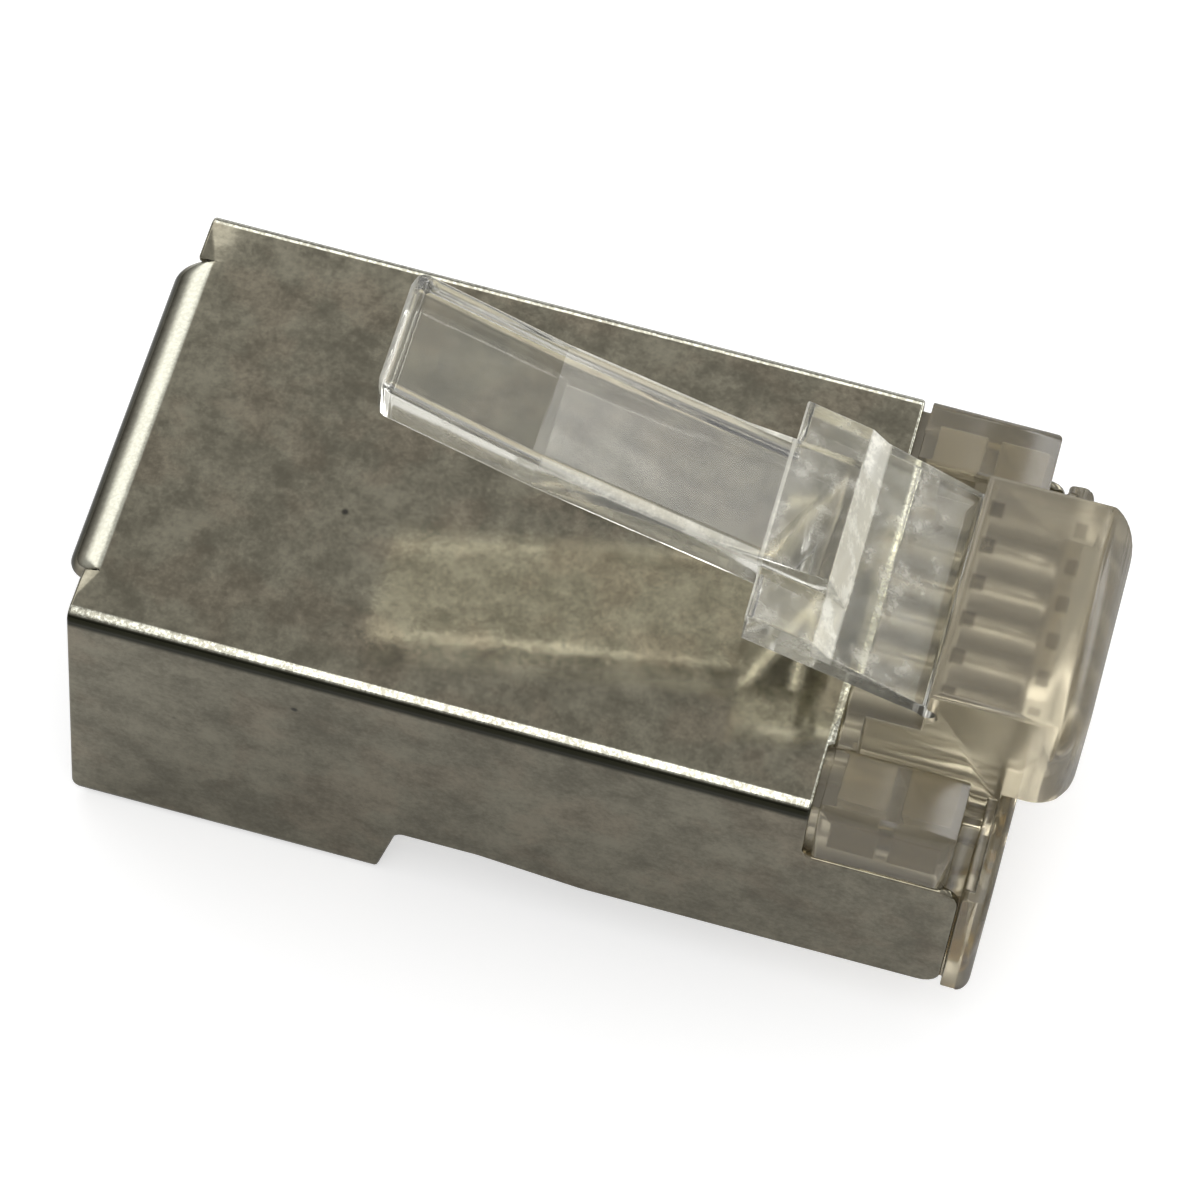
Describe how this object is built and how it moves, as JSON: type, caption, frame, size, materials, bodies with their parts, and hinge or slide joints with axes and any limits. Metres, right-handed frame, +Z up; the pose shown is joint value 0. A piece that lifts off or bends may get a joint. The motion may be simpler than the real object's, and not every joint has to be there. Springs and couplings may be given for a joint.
{
  "type": "shielded modular plug",
  "caption": "Shielded eight-way modular plug: folded metal shield over a clear moulded housing with a sprung latch lever and flat contact blades.",
  "frame": {"origin": "centre of the plug's length and width, on the plane that the rear of the shield's underside rests on", "axes": "+X towards the nose that enters the socket, +Z up through the latch, +Y to the left looking towards the nose"},
  "size_m": [0.0236, 0.0116, 0.0143],
  "materials": {
    "clear_moulding": "clear polycarbonate, polished mould faces",
    "plated_sheet": "nickel-plated sheet, semi-bright, lightly mottled",
    "gold_contact": "gold flash over nickel"
  },
  "bodies": {
    "plug_body": {"housing": "clear_moulding", "shield": "plated_sheet", "contact_1": "gold_contact", "contact_2": "gold_contact", "contact_3": "gold_contact", "contact_4": "gold_contact", "contact_5": "gold_contact", "contact_6": "gold_contact", "contact_7": "gold_contact", "contact_8": "gold_contact"},
    "latch": {"latch": "clear_moulding"}
  },
  "joints": [
    {"name": "latch_press", "type": "hinge", "parent": "plug_body", "child": "latch", "pos_m": [0.00815, 0, 0.0089], "axis": [0, -1, 0], "range_deg": [0, 18], "stiffness_Nm_per_rad": 0.1}
  ]
}
